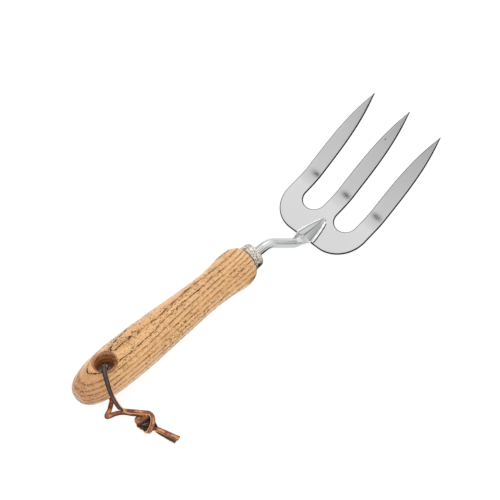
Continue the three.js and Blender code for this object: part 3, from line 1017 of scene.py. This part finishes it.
def ferrule_steel():
    """Dull warm-grey steel, mottled with fine speckles, with painted shade at its rear by the gap to
    the handle, and round the pin head.
    """
    steel = Shader("ferrule steel")
    specks = steel.noise((1.05, 1.05, 1.05), detail=4, roughness=0.75)
    blotches = steel.noise((0.35, 0.35, 0.35), detail=2)
    tint = steel.ramp(specks, [(0.42, srgb(84, 72, 62)), (0.49, srgb(184, 174, 164)),
                               (0.57, srgb(246, 240, 232))])
    tint = steel.blend(steel.between(blotches, 0.4, 0.7, 0, 0.5), tint, srgb(184, 170, 156))
    # painted shade: the rear lip by the gap to the handle, and a ring round the pin head where it
    # sits in its hole
    painted_shade = srgb(64, 46, 34)
    rear = steel.between(steel.along("Y"), HANDLE_LENGTH + 0.8, HANDLE_LENGTH + 1.3, 0.92, 0)
    tint = steel.blend(rear, tint, painted_shade)
    from_pin = steel.reach_from((0, 1, 1), (0, PIN_AT, 0))
    pin_shade = steel.between(from_pin, PIN_RADIUS + 0.5, PIN_RADIUS + 0.9, 0.95, 0)
    on_right = steel.between(steel.along("X"), 0, 1)
    tint = steel.blend(steel.times(pin_shade, on_right), tint, painted_shade)
    steel.set(Base_Color=tint, Metallic=0.7, Roughness=steel.between(specks, 0.3, 0.7, 0.5, 0.34),
              Normal=steel.bump(specks, 0.5, 0.12 * MM))
    return steel.material


def pin_steel():
    steel = Shader("pin steel")
    rust = steel.noise((1.6, 1.6, 1.6), detail=3)
    tint = steel.ramp(rust, [(0.35, srgb(92, 84, 74)), (0.65, srgb(150, 140, 128))])
    steel.set(Base_Color=tint, Metallic=0.8, Roughness=0.55, Normal=steel.bump(rust, 0.5, 0.1 * MM))
    return steel.material


def edge_shade_steel():
    """The sheared and ground edge of the sheet, duller than its faces, and painted near-black as
    shade, so its walls read as dark lines.
    """
    steel = Shader("cut edge steel")
    scratches = steel.noise((0.8, 0.8, 6), detail=2)
    tint = steel.blend(scratches, srgb(20, 20, 22), srgb(44, 44, 46))
    steel.set(Base_Color=tint, Metallic=1.0, Roughness=0.42,
              Normal=steel.bump(scratches, 0.2, 0.05 * MM))
    return steel.material


def weld_steel():
    """Bright weld metal, with a painted dark line of shade along both of its toes."""
    steel = Shader("weld steel")
    mottle = steel.noise((0.9, 0.9, 0.9), detail=3)
    tint = steel.ramp(mottle, [(0.35, srgb(222, 222, 225)), (0.6, srgb(252, 252, 252))])
    uneven = steel.between(mottle, 0.3, 0.7, -0.06, 0.06)
    # painted shade: a dark line where each toe meets the steel
    toe = steel.between(steel.math("ADD", steel.value("toe"), uneven), 0.78, 0.88)
    tint = steel.blend(toe, tint, srgb(58, 58, 60))
    steel.set(Base_Color=tint, Metallic=1.0, Roughness=steel.between(mottle, 0.3, 0.7, 0.22, 0.42),
              Normal=steel.bump(mottle, 0.25, 0.15 * MM))
    return steel.material


def thong_leather():
    """A leather lace: orange-brown grain side, dark flesh side, one pale cut edge and one dark cut
    edge.
    """
    leather = Shader("lace leather")
    side, across = leather.value("grain_side"), leather.value("across_lace")
    from_middle = leather.math("ABSOLUTE", across)
    mottle = leather.noise((0.22, 0.22, 0.22), detail=5, roughness=0.7)
    creases = leather.noise((2.4, 2.4, 2.4), detail=2)
    grain = leather.ramp(mottle, [(0.36, srgb(104, 48, 30)), (0.5, srgb(164, 92, 56)),
                                  (0.64, srgb(222, 164, 106))])
    burnished = leather.between(from_middle, 0.42, 0.76, 0, 0.9)
    grain = leather.blend(burnished, grain, srgb(66, 26, 16))
    flesh = leather.ramp(mottle, [(0.35, srgb(54, 42, 40)), (0.65, srgb(98, 84, 80))])
    flesh = leather.blend(leather.between(from_middle, 0.3, 0.7), flesh, srgb(26, 12, 9))
    edge = leather.blend(leather.between(across, -0.3, 0.3), srgb(222, 164, 112), srgb(58, 28, 20))
    color = leather.blend(leather.between(side, -0.8, -0.6), flesh, edge)
    color = leather.blend(leather.between(side, 0.6, 0.85), color, grain)
    roughness = leather.between(side, -0.6, 0.6, 0.92, 0.55)
    leather.set(Base_Color=color, Roughness=roughness, Normal=leather.bump(creases, 0.5, 0.2 * MM))
    return leather.material


# ---- build the pieces --------------------------

def finish_piece(piece, materials, node, body="fork"):
    """Puts the materials on a piece, and lets it stand for its CAD node on that node's body."""
    for material in materials:
        piece.data.materials.append(material)
    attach(piece, body)
    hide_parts(node)


PIT_AT, PIT_ASIDE = 94, -1.5
pit_on_middle_tine = offset(head_surface(PIT_AT), PIT_ASIDE, 0)
satin = satin_steel("satin steel", srgb(208, 207, 208), roughness=0.09, streaks=(1.6, 0.06, 1.6),
                    pit=pit_on_middle_tine)
forged = satin_steel("forged steel", srgb(196, 197, 197), roughness=0.16, streaks=(1.2, 0.2, 1.2),
                     shaded_creases=True)
weld = weld_steel()

finish_piece(build_handle(), [ash_wood()], "handle")
finish_piece(build_ferrule(), [ferrule_steel()], "ferrule")
finish_piece(build_pin(), [pin_steel()], "ferrule_pin")
finish_piece(build_stem(), [forged], "stem")
head_piece = build_head()
finish_piece(head_piece, [satin, edge_shade_steel()], "fork_head")
mark_cut_edge(head_piece)
for hand, side in (("left", -1), ("right", 1)):
    finish_piece(build_weld("weld_" + hand, side), [weld], "weld_bead_" + hand)
finish_piece(build_thong(), [thong_leather()], "hanging_thong", "thong")


# ---- stage, light and camera -------------------

def grey(level):
    return (level, level, level, 1)


def add_floor():
    """A wide, glowing floor at the CAD's lowest point, where shadows stay faint."""
    reach, glow = 6.0, 0.88
    low = cad_box[0].z
    corners = [(x * reach, y * reach, low) for x, y in ((-1, -1), (1, -1), (1, 1), (-1, 1))]
    mesh = plain_mesh("floor", corners, [(0, 1, 2, 3)])
    pale = Shader("pale floor")
    cloud = pale.noise((0.002, 0.002, 0.002), detail=1)
    pale.set(Base_Color=pale.blend(cloud, grey(0.15), grey(0.17)), Roughness=0.9,
             Emission_Color=grey(1), Emission_Strength=glow)
    mesh.materials.append(pale.material)
    add_to_scene("floor", mesh)


# Cards for the metal to reflect: the direction each one stands in, and how bright the tent is at
# a distance from that direction. First a gap overhead, then grey cards high on the right and
# high on the left beyond the tines, and a dark card low on the right.
CARDS = [
    ((-0.392, -0.30, 0.87), [(0.0, 0.02), (0.028, 0.08), (0.048, 0.40), (0.062, 0.50), (0.085, 0.64),
                             (0.106, 0.71), (0.17, 0.76), (0.25, 0.785), (0.4, 0.95), (1.0, 1.0)]),
    ((0.55, 0.05, 0.83), [(0.0, 0.50), (0.25, 0.55), (0.55, 1.0)]),
    ((-0.60, 0.50, 0.60), [(0.0, 0.50), (0.3, 0.60), (0.5, 1.0)]),
    ((0.95, 0.30, 0.0), [(0.0, 0.08), (0.2, 0.12), (0.5, 1.0)]),
]


def add_bench_card():
    """A dark card flat on the bench beside the ferrule, seen only as a reflection in the stem."""
    over_floor = 0.2
    low = cad_box[0].z + over_floor * MM
    outline = [(-8, 160), (40, 150), (80, 170), (80, 206), (34, 206), (12, 188), (-8, 184)]
    corners = [(x * MM, y * MM, low) for x, y in outline]
    mesh = plain_mesh("bench_card", corners, [tuple(range(len(outline)))])
    dark = Shader("dark card")
    dark.set(Base_Color=grey(0.01), Roughness=1.0, Specular_IOR_Level=0.0)
    mesh.materials.append(dark.material)
    card = add_to_scene("bench_card", mesh)
    card.visible_camera = False
    card.visible_diffuse = False
    card.visible_shadow = False


def add_world():
    """A white tent with cards hung in it, darker low down, and plain white behind the tool."""
    world = bpy.data.worlds.new("studio")
    bpy.context.scene.world = world
    world.use_nodes = True
    tree = world.node_tree
    background = tree.nodes["Background"]
    low_level, tent_strength = 0.7, 1.3
    direction = make_node(tree, "TexCoord").outputs["Generated"]
    height = make_node(tree, "SeparateXYZ", {0: direction}).outputs["Z"]
    lit = make_node(tree, "MapRange", {"Value": height, "From Min": 0.0, "From Max": 0.3,
                                       "To Min": low_level, "To Max": 1.0}).outputs[0]
    for centre, stops in CARDS:
        away = make_node(tree, "VectorMath", {0: direction, 1: centre}, operation="DISTANCE")
        card = make_node(tree, "ValToRGB", {"Fac": away.outputs["Value"]})
        set_stops(card, [(position, grey(level)) for position, level in stops])
        lit = make_node(tree, "Math", {0: lit, 1: card.outputs["Color"]},
                        operation="MULTIPLY").outputs[0]
    seen = make_node(tree, "LightPath").outputs["Is Camera Ray"]
    level = make_node(tree, "Mix", {"Factor": seen, 2: lit, 3: 1.0}).outputs[0]
    feed(tree, background.inputs["Color"], level)
    feed(tree, background.inputs["Strength"], tent_strength)


def add_softbox(name, place, aim, size, power):
    light = bpy.data.lights.new(name, "AREA")
    light.shape = "RECTANGLE"
    light.size, light.size_y = size
    light.energy = power
    lamp = add_to_scene(name, light)
    lamp.location = place
    lamp.rotation_mode = "QUATERNION"
    lamp.rotation_quaternion = (Vector(aim) - Vector(place)).to_track_quat("-Z", "Y")


def add_camera():
    """A long lens from beyond the butt, on its right, looking down and rolled a little left."""
    azimuth, elevation, roll = math.radians(41.95), math.radians(48.92), math.radians(-3.33)
    aim = Vector((-1.27, 159.19, 16.87)) * MM
    distance = 1.1129
    level_reach = math.cos(elevation)
    back = Vector((math.sin(azimuth) * level_reach, -math.cos(azimuth) * level_reach,
                   math.sin(elevation)))
    data = bpy.data.cameras.new("camera")
    data.lens, data.sensor_width = 116.96, 36
    data.clip_start, data.clip_end = 0.05, 50
    camera = add_to_scene("camera", data)
    turn = (-back).to_track_quat("-Z", "Y").to_matrix() @ Matrix.Rotation(-roll, 3, "Z")
    camera.matrix_world = Matrix.Translation(aim + back * distance) @ turn.to_4x4()
    bpy.context.scene.camera = camera


add_floor()
add_bench_card()
add_world()
CENTRE = (cad_box[0] + cad_box[1]) / 2
add_softbox("key", place=(-0.5, 1.1, 1.0), aim=CENTRE, size=(0.8, 0.8), power=2)
add_camera()
bpy.context.scene.view_settings.view_transform = "Standard"
